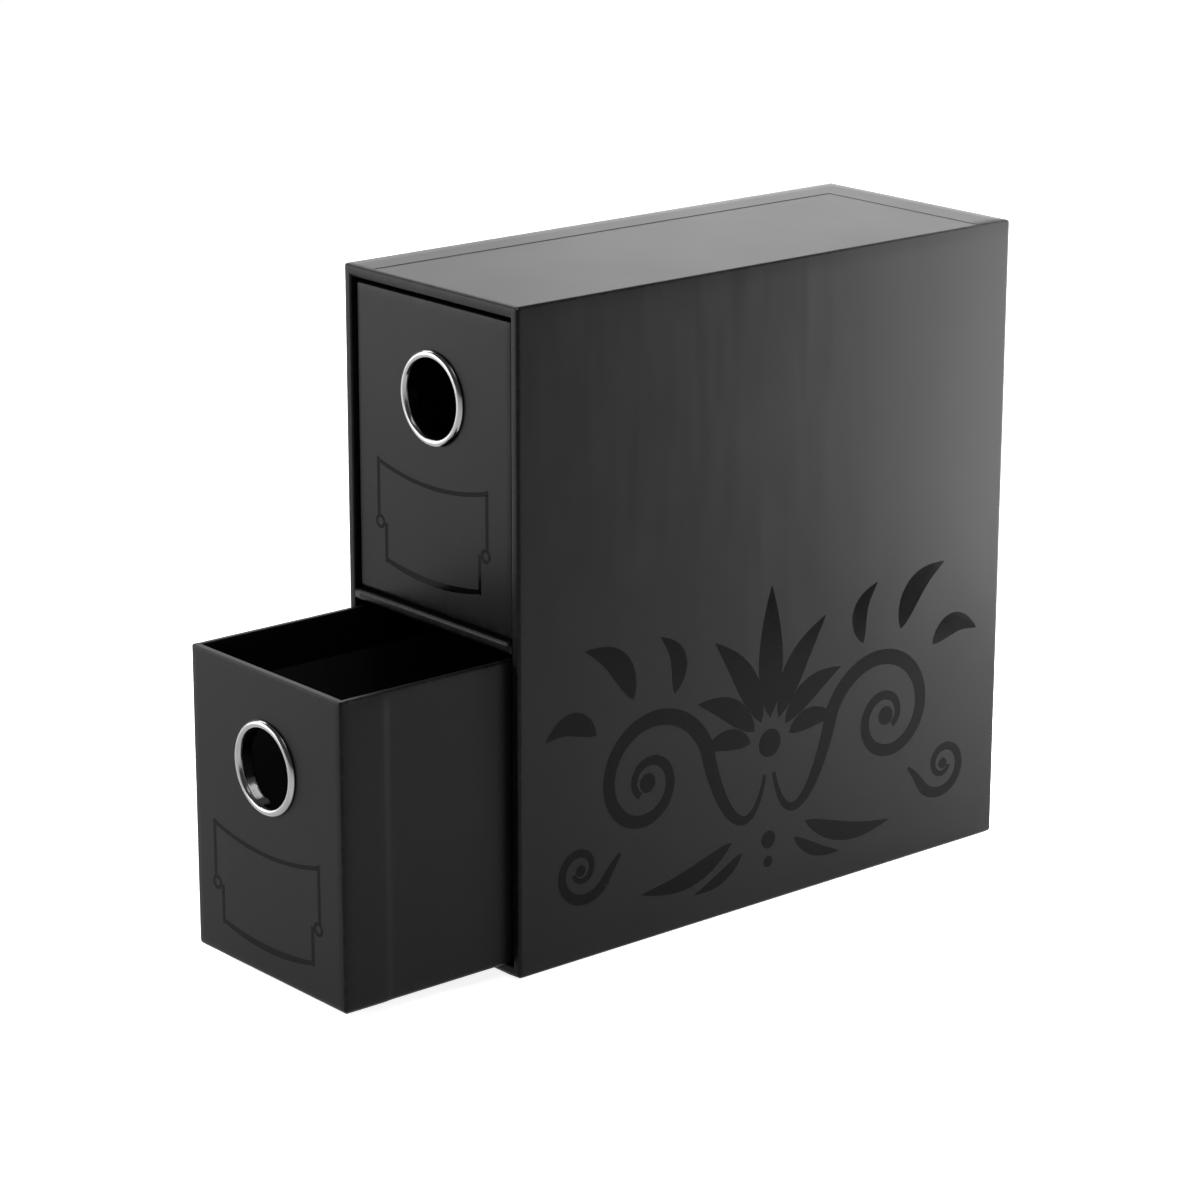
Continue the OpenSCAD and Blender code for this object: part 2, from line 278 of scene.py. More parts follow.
def case_sheets():
    """The main, back and base sheets as one tray that opens to the front, cut along their joints."""
    half_u = back_high.x
    low_z, high_z = back_low.z, main_high.z
    half_v, mid_z = (high_z - low_z) / 2, (high_z + low_z) / 2
    depth = back_high.y - back_low.y
    straight_u = half_u - CASE_FOLD_R

    def share_on_top(x):
        return (straight_u - x) / (2 * straight_u)

    flat = [t / (2 * straight_u) for t in evenly(0, 2 * straight_u, MESH_STEP)]
    upright = [t / (2 * half_v) for t in evenly(0, 2 * half_v, MESH_STEP)]
    top = [lap_x + NEAR, lap_x + HAIR, lap_x, lap_x - NEAR, NEAR - straight_u, straight_u - NEAR]
    top += evenly(straight_u - MESH_STEP, lap_x + MESH_STEP, MESH_STEP)
    top += evenly(lap_x - MESH_STEP, MESH_STEP - straight_u, MESH_STEP)
    across = [0.0] + sorted(share_on_top(x) for x in top) + [1.0]
    ring = stations([flat, upright, across, upright])

    base = evenly(half_u - BASE_CORE, CASE_FOLD_R + BASE_CORE, MESH_STEP)
    outside = [sheet_margin] + evenly(MESH_STEP, turn_in - MESH_STEP, MESH_STEP)
    outside += [turn_in - NEAR, turn_in, turn_in + HAIR, turn_in + NEAR]
    outside += evenly(turn_in + MESH_STEP, depth - MESH_STEP, MESH_STEP)
    outside += [depth - sheet_margin - NEAR, depth - sheet_margin]
    inside = evenly(depth - MESH_STEP, depth - turn_in, MESH_STEP)
    rows = tray_rows(depth, case_wall, CASE_FOLD_R, CASE_FOLD_R, CASE_INNER_R, base, outside, inside)

    def place(u, v, height):
        return Vector((u, back_high.y - height, mid_z + v))

    verts, faces, where, folds = tray(rows, ring, half_u, half_v, CASE_FOLD_R, place)

    def on_lap(x, y):
        return x <= lap_x + HAIR / 2 or y >= lap_y - HAIR / 2

    def rise(p, n):
        inner = ramp(half_u - abs(p.x), CASE_FOLD_R, sheet_margin)
        inner *= ramp(back_high.y - p.y, CASE_FOLD_R, sheet_margin)
        if n.z > LEVEL and on_lap(p.x, p.y) and p.y > back_low.y + sheet_margin - HAIR:
            return lap_rise * inner
        if n.z < -LEVEL:
            return (back_low.z - base_low.z) * inner
        return 0.0

    def owner(station, centre):
        """The back sheet has the back, the left side and the lap on the top, up to its margin."""
        if station is None or centre.y > back_high.y - sheet_margin:
            return "case_back_sheet"
        kind, k, _ = station
        if k == 0 and kind == "side":
            return "case_base_paper"
        if k == 3 or (k == 2 and kind == "corner"):
            return "case_back_sheet"
        lapped = k == 2 and on_lap(centre.x, centre.y) and centre.z > main_high.z - PAPER
        if lapped and centre.y > back_low.y + sheet_margin:
            return "case_back_sheet"
        return "case_main_sheet"

    owners = [owner(station, centre_of(verts, f)) for (_, station), f in zip(where, faces)]
    verts, normals = displaced(verts, faces, folds, rise)
    return sheets_of(verts, normals, faces, owners, folds)


def shelf_sheet():
    """The shelf's paper: a slab with a rounded nose along its front edge."""
    radius = CASE_FOLD_R
    y0, y1 = shelf_low.y, shelf_high.y
    z0, z1 = shelf_low.z, shelf_high.z
    outline = [(y1, z0), (y0 + MESH_STEP, z0)]
    outline += [(y0 + radius * (1 - math.sin(a)), z0 + radius * (1 - math.cos(a))) for a in QUARTER]
    outline += [(y0 + radius * (1 - math.cos(a)), z1 - radius * (1 - math.sin(a))) for a in QUARTER]
    outline += [(y0 + MESH_STEP, z1), (y1, z1)]
    columns = evenly(shelf_low.x, shelf_high.x, SHELF_STEP)
    verts, folds = [], []
    for x in columns:
        for y, z in outline:
            folded = 1.0 if y < y0 + radius else 0.0
            p = Vector((x, y, z))
            verts.append(p + Vector((0, wave(p, 1.0) * folded, 0)))
            folds.append(folded)
    n = len(outline)
    faces = [((i + 1) * n + j, (i + 1) * n + (j + 1) % n, i * n + (j + 1) % n, i * n + j)
             for i in range(len(columns) - 1) for j in range(n)]
    last = (len(columns) - 1) * n
    faces += [tuple(range(n)), tuple(reversed(range(last, last + n)))]
    sharp = [(c * n + j, (c + 1) * n + j) for c in range(len(columns) - 1) for j in (0, n - 1)]
    return make_object("shelf_paper", verts, faces, folds=folds, sharp=sharp)


# Drawer sheets: the paper's gap round the ring's barrel, the lap's soft edge, and the drop at a corner

RING_HOLE_GAP = 1.2 * MM
LAP_FEATHER = 1.9 * MM
LAP_SHARES = (-1, -0.66, -0.33, 0, 0.33, 0.66, 1)
LAP_DROP = 1 * MM
CORNER_DROP = 0.13 * MM
CORNER_DROP_LENGTH = 7 * MM


def cut_ring_hole(level, verts, faces, where):
    """The faces and face places left round the finger ring's barrel, with the hole's edge made round."""
    face_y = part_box(f"{level}_front_wrap")[0].y
    ring_low, ring_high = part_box(f"{level}_finger_ring")
    middle = (ring_low + ring_high) / 2
    hole_r = mounts[f"{level}_finger_hole"]["dims"]["r_mm"] * MM + RING_HOLE_GAP

    def in_hole(face):
        centre = centre_of(verts, face)
        on_front = all(verts[i].y < face_y + PAPER for i in face)
        return on_front and math.hypot(centre.x - middle.x, centre.z - middle.z) < hole_r

    gone = [in_hole(f) for f in faces]
    for i in {i for f, cut in zip(faces, gone) if cut for i in f}:
        p = verts[i]
        away = Vector((p.x - middle.x, 0, p.z - middle.z))
        if away.length > 0:
            verts[i] = Vector((middle.x, p.y, middle.z)) + away.normalized() * hole_r
    return ([f for f, cut in zip(faces, gone) if not cut],
            [w for w, cut in zip(where, gone) if not cut])


def drawer_sheets(level):
    """A drawer's front sheet and body sheet as one tray that opens upwards, cut at the lap."""
    front_low, front_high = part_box(f"{level}_front_wrap")
    body_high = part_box(f"{level}_body_wrap")[1]
    lining_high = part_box(f"{level}_lining")[1]
    half_u = front_high.x
    low_z = front_low.z
    depth_y = body_high.y - front_low.y
    half_v, mid_y = depth_y / 2, front_low.y + depth_y / 2
    height = front_high.z - low_z
    wall = half_u - (lining_high.x - PAPER)
    lap_depth = front_high.y - front_low.y
    lap_rise_x = front_high.x - body_high.x
    straight_v = 2 * (half_v - DRAWER_CORNER_R)
    straight_u = 2 * (half_u - DRAWER_CORNER_R)

    near_lap = [lap_depth + share * LAP_FEATHER for share in LAP_SHARES]
    along = evenly(DRAWER_CORNER_R, near_lap[0], FINE_STEP)[:-1] + near_lap
    along += evenly(near_lap[-1], depth_y - DRAWER_CORNER_R, MESH_STEP)[1:]
    side = [(s - DRAWER_CORNER_R) / straight_v for s in along]
    front = [t / straight_u for t in evenly(0, straight_u, FINE_STEP)]
    back = [t / straight_u for t in evenly(0, straight_u, MESH_STEP)]
    ring = stations([front, side, back, [1 - t for t in reversed(side)]])

    base = evenly(half_u - BASE_CORE, lap_depth, MESH_STEP)
    base += evenly(lap_depth, DRAWER_BOTTOM_R + BASE_CORE, MESH_STEP)[1:]
    outside = evenly(DRAWER_BOTTOM_R + FINE_STEP, height - DRAWER_RIM_R - FINE_STEP, FINE_STEP)
    inside = evenly(height - FINE_STEP, lining_high.z - low_z, MESH_STEP)
    rows = tray_rows(height, wall, DRAWER_BOTTOM_R, DRAWER_RIM_R, DRAWER_RIM_R, base, outside, inside)

    def narrowing(behind, below_rim):
        """How far a side stands in from the front's full width: less a lap, and at the corner."""
        lapped = 1 - ramp(behind, lap_depth - LAP_FEATHER, lap_depth + LAP_FEATHER)
        if behind > wall:
            lapped *= ramp(below_rim, LAP_DROP, LAP_DROP + FINE_STEP)
        corner = (1 - min(1.0, behind / CORNER_DROP_LENGTH)) ** 2
        return lap_rise_x * (1 - lapped) + CORNER_DROP * corner

    def place(u, v, h):
        p = Vector((u, mid_y + v, low_z + h))
        outer = ramp(abs(u), half_u - DRAWER_CORNER_R, half_u)
        inner = ramp(abs(u), half_u - wall, half_u - wall / 2)
        share = outer if v < DRAWER_CORNER_R - half_v else inner
        p.x -= math.copysign(share * narrowing(v + half_v, height - h), u)
        return p

    verts, faces, where, folds = tray(rows, ring, half_u, half_v, DRAWER_CORNER_R, place)
    faces, where = cut_ring_hole(level, verts, faces, where)

    def rise(p, n):
        if n.z < -LEVEL:
            behind = p.y - front_low.y
            return -PAPER * ramp(behind, lap_depth - LAP_FEATHER, lap_depth + LAP_FEATHER)
        return 0.0

    def owner(row, station, centre):
        """The front sheet reaches as far as its lap, and under the base it has mitred ends."""
        lapped = centre.y < front_low.y + lap_depth
        if row < len(base):
            lapped = station is not None and station[1] == 0 and base[row] < lap_depth + TIGHT_R
        return f"{level}_front_sheet" if lapped else f"{level}_body_sheet"

    owners = [owner(row, station, centre_of(verts, f)) for (row, station), f in zip(where, faces)]
    verts, normals = displaced(verts, faces, folds, rise)
    return sheets_of(verts, normals, faces, owners, folds)


# Finger rings and washers

RING_SEGMENTS = 160
RING_WALL = 0.6 * MM
RING_EASE = 0.2 * MM
BEAD_STEPS = 14
BARREL_FLARE = 0.5 * MM
BARREL_STEPS = 4
WASHER_GAP = 0.1 * MM
WASHER_EDGE_R = 0.25 * MM
WASHER_EDGE_STEPS = 4


def lathe(name, section, centre):
    """A closed section of (radius, depth behind the front) turned about an axis along Y."""
    n = len(section)
    verts = []
    for i in range(RING_SEGMENTS):
        a = 2 * math.pi * i / RING_SEGMENTS
        verts += [centre + Vector((r * math.cos(a), d, r * math.sin(a))) for r, d in section]
    faces = []
    for i in range(RING_SEGMENTS):
        k = (i + 1) % RING_SEGMENTS
        faces += [(i * n + j, i * n + (j + 1) % n, k * n + (j + 1) % n, k * n + j) for j in range(n)]
    return make_object(name, verts, faces)


def arc(centre, radius, start, end, steps):
    """Points of an arc in a lathe section, with angles in degrees from +radius towards +depth."""
    angles = [math.radians(start + (end - start) * i / steps) for i in range(steps + 1)]
    return [(centre[0] + radius * math.cos(a), centre[1] + radius * math.sin(a)) for a in angles]


def ring_sizes(level):
    """The front's face, and the radii of a finger ring's bead and bore."""
    low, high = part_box(f"{level}_finger_ring")
    face_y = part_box(f"{level}_front_wrap")[0].y
    bead_r = face_y - low.y
    return face_y, bead_r, (high.x - low.x) / 2 - 2 * bead_r


def finger_ring(level):
    """The pressed ring: a half-round bead in front, a flared barrel, and a rolled end behind."""
    low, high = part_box(f"{level}_finger_ring")
    washer_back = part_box(f"{level}_ring_washer")[1].y
    face_y, bead_r, bore_r = ring_sizes(level)
    centre = Vector(((low.x + high.x) / 2, face_y, (low.z + high.z) / 2))
    roll_r = high.y - washer_back
    barrel = washer_back - face_y
    mouth_r = bore_r + BARREL_FLARE
    mouth_turn = math.degrees(math.acos(1 - BARREL_FLARE / bead_r))
    wall_r, front_wall_r = bore_r + RING_WALL, mouth_r + RING_WALL / 2
    section = arc((bore_r + bead_r, 0), bead_r, 0, mouth_turn - 180, BEAD_STEPS)
    shares = [i / BARREL_STEPS for i in range(1, BARREL_STEPS)]
    section += [(mouth_r - BARREL_FLARE * t, barrel * t) for t in shares]
    section += arc((bore_r + roll_r, barrel), roll_r, 180, 0, BEAD_STEPS)
    section += [(wall_r + RING_EASE, barrel), (wall_r, barrel - RING_EASE)]
    section += [(front_wall_r, RING_EASE), (front_wall_r + RING_EASE, 0)]
    return lathe(f"{level}_ring", section, centre)


def ring_washer(level):
    """The washer that the rolled end clamps, with eased edges."""
    low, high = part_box(f"{level}_ring_washer")
    centre = Vector(((low.x + high.x) / 2, low.y, (low.z + high.z) / 2))
    thick = high.y - low.y
    edge = WASHER_EDGE_R
    outer_r = (high.x - low.x) / 2 - edge
    inner_r = ring_sizes(level)[2] + RING_WALL + WASHER_GAP + edge
    section = arc((outer_r, edge), edge, 0, -90, WASHER_EDGE_STEPS)
    section += arc((inner_r, edge), edge, -90, -180, WASHER_EDGE_STEPS)
    section += arc((inner_r, thick - edge), edge, 180, 90, WASHER_EDGE_STEPS)
    section += arc((outer_r, thick - edge), edge, 90, 0, WASHER_EDGE_STEPS)
    return lathe(f"{level}_washer", section, centre)


# Spot print: shapes in a plane, as (vertices, faces), that become thin closed plates

LEAF_TIP = 0.02 * MM
LEAF_LEAN = 0.8
LEAF_FULLNESS = 0.9


def stroke(points, widths, closed=False):
    """A ribbon along points, with a width at each."""
    n = len(points)
    left, right = [], []
    for i, (p, w) in enumerate(zip(points, widths)):
        before = points[i - 1] if closed or i > 0 else p
        after = points[(i + 1) % n] if closed or i < n - 1 else p
        along = (after - before).normalized()
        side = Vector((-along.y, along.x)) * w / 2
        left.append(p + side)
        right.append(p - side)
    spans = range(n if closed else n - 1)
    faces = [(i, (i + 1) % n, n + (i + 1) % n, n + i) for i in spans]
    return right + left, faces


def stem(start, first, second, end, start_w, end_w, steps=24):
    """A stalk along a cubic curve that changes its width evenly."""
    shares = [i / steps for i in range(steps + 1)]
    points = [start * (1 - t) ** 3 + first * 3 * t * (1 - t) ** 2
              + second * 3 * t * t * (1 - t) + end * t ** 3 for t in shares]
    return stroke(points, [start_w + (end_w - start_w) * t for t in shares])


def leaf(root, tip, width, bend=0.0, steps=14):
    """A pointed leaf from root to tip, fullest before its middle, bent to its left."""
    span = tip - root
    side = Vector((-span.y, span.x)).normalized()
    shares = [i / steps for i in range(steps + 1)]
    points = [root + span * t + side * bend * math.sin(math.pi * t) for t in shares]
    swells = [math.sin(math.pi * t ** LEAF_LEAN) ** LEAF_FULLNESS for t in shares]
    widths = [max(width * swell, LEAF_TIP) for swell in swells]
    return stroke(points, widths)


def spiral(centre, start_r, end_r, start_deg, turns, start_w, end_w, hand=1, steps=72):
    """A volute that winds inwards and narrows."""
    points, widths = [], []
    for t in (i / steps for i in range(steps + 1)):
        a = math.radians(start_deg) + hand * 2 * math.pi * turns * t
        r = start_r * (end_r / start_r) ** t
        points.append(centre + Vector((math.cos(a), math.sin(a))) * r)
        widths.append(start_w + (end_w - start_w) * t)
    return stroke(points, widths)


def circle(centre, radius, steps):
    """Points round a circle."""
    angles = [2 * math.pi * i / steps for i in range(steps)]
    return [centre + Vector((math.cos(a), math.sin(a))) * radius for a in angles]


def dot(centre, radius, steps=28):
    """A round spot."""
    return circle(centre, radius, steps), [tuple(range(steps))]


def loop(centre, radius, width, steps=32):
    """A thin ring."""
    return stroke(circle(centre, radius, steps), [width] * steps, closed=True)


def mirrored(shape):
    """A shape reflected left to right, with its faces still the right way round."""
    verts, faces = shape
    return [Vector((-v.x, v.y)) for v in verts], [tuple(reversed(f)) for f in faces]


def print_plates(name, shapes, place, outward):
    """One object of thin closed plates on a surface, each a hair higher than the one before."""
    verts, faces, sharp = [], [], []
    for k, (flat, flat_faces) in enumerate(shapes):
        lift = PRINT_LIFT + k * PRINT_STEP
        top = [place(p) for p in flat]
        top = [p + outward * (wave(p) + lift) for p in top]
        solid, solid_faces, edges = thicken(top, [outward] * len(top), flat_faces, lift + PRINT_ROOT)
        base = len(verts)
        verts += solid
        faces += [tuple(base + i for i in f) for f in solid_faces]
        sharp += [(base + a, base + b) for a, b in edges]
    return make_object(name, verts, faces, smooth=False, sharp=sharp)


# The label frame on a drawer front: its shift to the left, places below the rim, and half widths

LABEL_SHIFT = 1.1 * MM
LABEL_TOP_DROP = 58.2 * MM
LABEL_TOP_HALF = 28.5 * MM
LABEL_TOP_SAG = 3.9 * MM
LABEL_CORNER_RISE = 1 * MM
LABEL_LOW_DROP = 91.6 * MM
LABEL_LOW_HALF = 24.6 * MM
LABEL_LOW_SAG = 2.7 * MM
LABEL_LOOP_DROP = 79.1 * MM
LABEL_LOOP_R = 1.9 * MM
LABEL_LINE = 1.5 * MM
LABEL_BASE_LINE = 2.3 * MM
LABEL_LOOP_LINE = 0.8 * LABEL_LINE


def sagging(half, drop, sag, steps=24):
    """Points from left to right along a line that hangs down in its middle."""
    shares = [2 * i / steps - 1 for i in range(steps + 1)]
    return [Vector((half * t, -drop - sag * (1 - t * t))) for t in shares]


def label_shapes():
    """The label frame: a hanging top line, sides that step in below a loop, and a heavier base."""
    top = sagging(LABEL_TOP_HALF, LABEL_TOP_DROP, LABEL_TOP_SAG)
    base = sagging(LABEL_LOW_HALF, LABEL_LOW_DROP, LABEL_LOW_SAG)
    swell = LABEL_BASE_LINE - LABEL_LINE
    base_widths = [LABEL_LINE + swell * (1 - (p.x / LABEL_LOW_HALF) ** 2) for p in base]
    shapes = [stroke(top, [LABEL_LINE] * len(top)), stroke(base, base_widths)]
    knot = Vector((LABEL_TOP_HALF - LABEL_LINE / 2, -LABEL_LOOP_DROP))
    upper = (LABEL_TOP_HALF, LABEL_CORNER_RISE - LABEL_TOP_DROP, knot.y + LABEL_LOOP_R)
    lower = (LABEL_LOW_HALF, knot.y, -LABEL_CORNER_RISE - LABEL_LOW_DROP)
    for x, start, end in (upper, lower):
        side = stroke([Vector((x, start)), Vector((x, end))], [LABEL_LINE] * 2)
        shapes += [side, mirrored(side)]
    ring = loop(knot, LABEL_LOOP_R, LABEL_LOOP_LINE)
    shapes += [ring, mirrored(ring)]
    return shapes


def label_frame(level):
    """The spot-printed label frame on one drawer's front."""
    low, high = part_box(f"{level}_front_wrap")

    def place(p):
        return Vector((p.x - LABEL_SHIFT, low.y, high.z + p.y))

    return print_plates(f"{level}_label_frame", label_shapes(), place, Vector((0, -1, 0)))


# The ornament on the right side, in millimetres from its foot in the middle of the depth

ORNAMENT_FOOT = 14 * MM
FAN_ROOT = 9
VOLUTE_R = 27
VOLUTE_START = 165
VOLUTE_LINE = 6
SPRAY_ROOT = 31
BUD_R = 12
BUD_START = 215
BUD_LINE = 4
# Leaves beside the fan's middle one and over a volute: the angle, reach and width of each
FAN_LEAVES = ((64, 48, 9.5), (38, 39, 8.5), (11, 31, 7.5))
SPRAY_LEAVES = ((112, 50, 7), (78, 58, 9), (44, 50, 8))


def at(x, y):
    """A point of the ornament, from millimetres."""
    return Vector((x * MM, y * MM))


def around(centre, angle, radius):
    """A point at an angle in degrees and a radius in millimetres round a centre."""
    a = math.radians(angle)
    return centre + at(radius * math.cos(a), radius * math.sin(a))


def volute(eye):
    """A large volute that rises from the fan's foot, with its eye."""
    radius, line = VOLUTE_R * MM, VOLUTE_LINE * MM
    turn = around(eye, VOLUTE_START, VOLUTE_R)
    shapes = [stem(at(2, 33), at(8, 6), at(22, 20), turn, 1.5 * MM, line)]
    shapes.append(spiral(eye, radius, 5 * MM, VOLUTE_START, 1.6, line, 2.4 * MM, hand=-1))
    shapes.append(dot(eye, 3.4 * MM))
    return shapes


def bud(eye, start):
    """A small volute on a stem of its own, which begins below the large one."""
    radius, line = BUD_R * MM, BUD_LINE * MM
    turn = around(eye, BUD_START, BUD_R)
    shapes = [stem(start, at(69, 18), at(70.8, 16), turn, 1.2 * MM, line)]
    shapes.append(spiral(eye, radius, 3 * MM, BUD_START, 1.35, line, 1.6 * MM))
    shapes.append(dot(eye, 2 * MM))
    return shapes


def spray(centre, leaves, root_r, lean, bend):
    """Leaves that spread from a circle round a centre, each leaning to the right."""
    shapes = []
    for angle, reach, width in leaves:
        root, tip = around(centre, angle, root_r), around(centre, angle - lean, reach)
        shapes.append(leaf(root, tip, width * MM, bend))
    return shapes


def ornament_shapes():
    """A palmette between two volutes that rise from its foot, the same on both sides."""
    fan, eye = at(0, 44), at(55, 42)
    shapes = [leaf(around(fan, 90, FAN_ROOT), around(fan, 90, 56), 11 * MM)]
    shapes += [dot(fan, 5 * MM), dot(at(0, 9), 3.2 * MM), dot(at(0, 1), 2 * MM)]
    half = spray(fan, FAN_LEAVES, FAN_ROOT, lean=6, bend=3 * MM)
    half += volute(eye)
    half += bud(at(84, 18), around(eye, -62, 25))
    half += spray(eye, SPRAY_LEAVES, SPRAY_ROOT, lean=16, bend=5 * MM)
    half.append(leaf(at(17, 12), at(58, 3), 7 * MM, bend=-4 * MM))
    half.append(leaf(at(12, 7), at(34, -3), 4.5 * MM, bend=-2 * MM))
    for shape in half:
        shapes += [shape, mirrored(shape)]
    return shapes


def side_ornament():
    """The spot-printed ornament on the case's right side."""

    def place(p):
        return Vector((back_high.x, p.x, ORNAMENT_FOOT + p.y))

    return print_plates("side_ornament", ornament_shapes(), place, Vector((1, 0, 0)))


# Materials

# The span in which most of a noise texture's values lie
NOISE_SPAN = (0.3, 0.7)
# Sockets of a mix node for colours: its share, its two colours and its result
MIX_SHARE = 0
MIX_COLOURS = (6, 7)
MIX_RESULT = 2


def new_material(name):
    """A new material, with its node tree, principled shader and object coordinates."""
    material = bpy.data.materials.new(name)
    material.use_nodes = True
    tree = material.node_tree
    shader = tree.nodes["Principled BSDF"]
    coords = tree.nodes.new("ShaderNodeTexCoord").outputs["Object"]
    return material, tree, shader, coords


def noise_texture(tree, coords, scale=1.0, detail=3.0, stretch=None):
    """A noise texture's value, over coordinates that may be stretched."""
    if stretch:
        mapping = tree.nodes.new("ShaderNodeMapping")
        mapping.inputs["Scale"].default_value = stretch
        tree.links.new(coords, mapping.inputs["Vector"])
        coords = mapping.outputs["Vector"]
    texture = tree.nodes.new("ShaderNodeTexNoise")
    texture.inputs["Scale"].default_value = scale
    texture.inputs["Detail"].default_value = detail
    tree.links.new(coords, texture.inputs["Vector"])
    return texture.outputs["Fac"]


def remap(tree, value, span, new_span):
    """A value mapped from one span to another, and held inside it."""
    node = tree.nodes.new("ShaderNodeMapRange")
    for name, number in zip(("From Min", "From Max", "To Min", "To Max"), (*span, *new_span)):
        node.inputs[name].default_value = number
    tree.links.new(value, node.inputs["Value"])
    return node.outputs["Result"]


def maths(tree, operation, a, b):
    """A math node of two inputs, each a socket or a number."""
    node = tree.nodes.new("ShaderNodeMath")
    node.operation = operation
    for socket, value in zip(node.inputs, (a, b)):
        if isinstance(value, (int, float)):
            socket.default_value = value
        else:
            tree.links.new(value, socket)
    return node.outputs["Value"]


def mix_colour(tree, share, first, second):
    """Two colours mixed by a share, each a socket or a tuple."""
    node = tree.nodes.new("ShaderNodeMix")
    node.data_type = "RGBA"
    tree.links.new(share, node.inputs[MIX_SHARE])
    for number, colour in zip(MIX_COLOURS, (first, second)):
        if isinstance(colour, tuple):
            node.inputs[number].default_value = (*colour, 1)
        else:
            tree.links.new(colour, node.inputs[number])
    return node.outputs[MIX_RESULT]


def upright_share(tree):
    """How upright the surface stands: 1 on a wall, 0 on a level face."""
    geometry = tree.nodes.new("ShaderNodeNewGeometry")
    parts = tree.nodes.new("ShaderNodeSeparateXYZ")
    tree.links.new(geometry.outputs["Normal"], parts.inputs["Vector"])
    return maths(tree, "SUBTRACT", 1.0, maths(tree, "ABSOLUTE", parts.outputs["Z"], 0.0))


def bump(tree, shader, height, distance, strength):
    """A bump on the shader from a height value."""
    node = tree.nodes.new("ShaderNodeBump")
    node.inputs["Distance"].default_value = distance
    node.inputs["Strength"].default_value = strength
    tree.links.new(height, node.inputs["Height"])
    tree.links.new(node.outputs["Normal"], shader.inputs["Normal"])


def cover_paper():
    """Black paper under a matt film: a fine grain, faint upright streaks, and folds worn paler."""
    material, tree, shader, coords = new_material("cover_paper")
    dark, pale, bare = (0.0036, 0.0034, 0.0036), (0.005, 0.0047, 0.005), (0.035, 0.034, 0.035)
    grain = noise_texture(tree, coords, scale=1600, detail=4)
    streaks = noise_texture(tree, coords, detail=4, stretch=(260, 260, 26))
    clouds = noise_texture(tree, coords, scale=32)
    scuffs = noise_texture(tree, coords, scale=420, detail=5)
    attribute = tree.nodes.new("ShaderNodeAttribute")
    attribute.attribute_name = "fold"
    fold = attribute.outputs["Fac"]
    worn = maths(tree, "MULTIPLY", fold, remap(tree, scuffs, (0.5, 0.75), (0.0, 0.25)))

    plain = mix_colour(tree, remap(tree, clouds, NOISE_SPAN, (0, 1)), dark, pale)
    tree.links.new(mix_colour(tree, worn, plain, bare), shader.inputs["Base Color"])

    streaked = remap(tree, streaks, NOISE_SPAN, (-0.03, 0.03))
    rough = maths(tree, "MULTIPLY", upright_share(tree), streaked)
    rough = maths(tree, "ADD", rough, remap(tree, clouds, NOISE_SPAN, (0.362, 0.378)))
    rough = maths(tree, "ADD", rough, maths(tree, "MULTIPLY", worn, 0.15))
    tree.links.new(rough, shader.inputs["Roughness"])
    shader.inputs["Specular IOR Level"].default_value = 0.074

    relief = maths(tree, "ADD", grain, maths(tree, "MULTIPLY", streaks, 0.4))
    creases = maths(tree, "MULTIPLY", fold, maths(tree, "MULTIPLY", scuffs, 4.0))
    bump(tree, shader, maths(tree, "ADD", relief, creases), distance=0.02 * MM, strength=0.25)
    return material


def spot_print():
    """Deep black varnish: smoother than the paper round it, and darker."""
    material, tree, shader, coords = new_material("spot_print")
    ripple = noise_texture(tree, coords, scale=500)
    clouds = noise_texture(tree, coords, scale=60, detail=2)
    colour = mix_colour(tree, clouds, (0.0013, 0.0013, 0.0014), (0.0021, 0.0021, 0.0021))
    tree.links.new(colour, shader.inputs["Base Color"])
    tree.links.new(remap(tree, ripple, NOISE_SPAN, (0.1, 0.16)), shader.inputs["Roughness"])
    shader.inputs["Specular IOR Level"].default_value = 0.036
    bump(tree, shader, ripple, distance=0.01 * MM, strength=0.3)
    return material


def lining_paper():
    """Uncoated black paper: no sheen, with a fibre grain."""
    material, tree, shader, coords = new_material("lining_paper")
    fibres = noise_texture(tree, coords, detail=5, stretch=(1400, 500, 1400))
    clouds = noise_texture(tree, coords, scale=45)
    colour = mix_colour(tree, clouds, (0.021, 0.021, 0.02), (0.027, 0.027, 0.026))
    tree.links.new(colour, shader.inputs["Base Color"])
    tree.links.new(remap(tree, fibres, NOISE_SPAN, (0.78, 0.92)), shader.inputs["Roughness"])
    shader.inputs["Specular IOR Level"].default_value = 0.15
    bump(tree, shader, fibres, distance=0.05 * MM, strength=0.6)
    return material


def greyboard():
    """Raw grey board: flecked recycled fibres."""
    material, tree, shader, coords = new_material("greyboard")
    fibres = noise_texture(tree, coords, detail=5, stretch=(900, 300, 900))
    flecks = noise_texture(tree, coords, scale=1500, detail=2)
    plain = mix_colour(tree, fibres, (0.30, 0.285, 0.26), (0.42, 0.40, 0.365))
    colour = mix_colour(tree, remap(tree, flecks, (0.68, 0.74), (0, 1)), plain, (0.12, 0.11, 0.1))
    tree.links.new(colour, shader.inputs["Base Color"])
    tree.links.new(remap(tree, fibres, NOISE_SPAN, (0.85, 0.97)), shader.inputs["Roughness"])
    shader.inputs["Specular IOR Level"].default_value = 0.2
    bump(tree, shader, fibres, distance=0.1 * MM, strength=0.7)
    return material


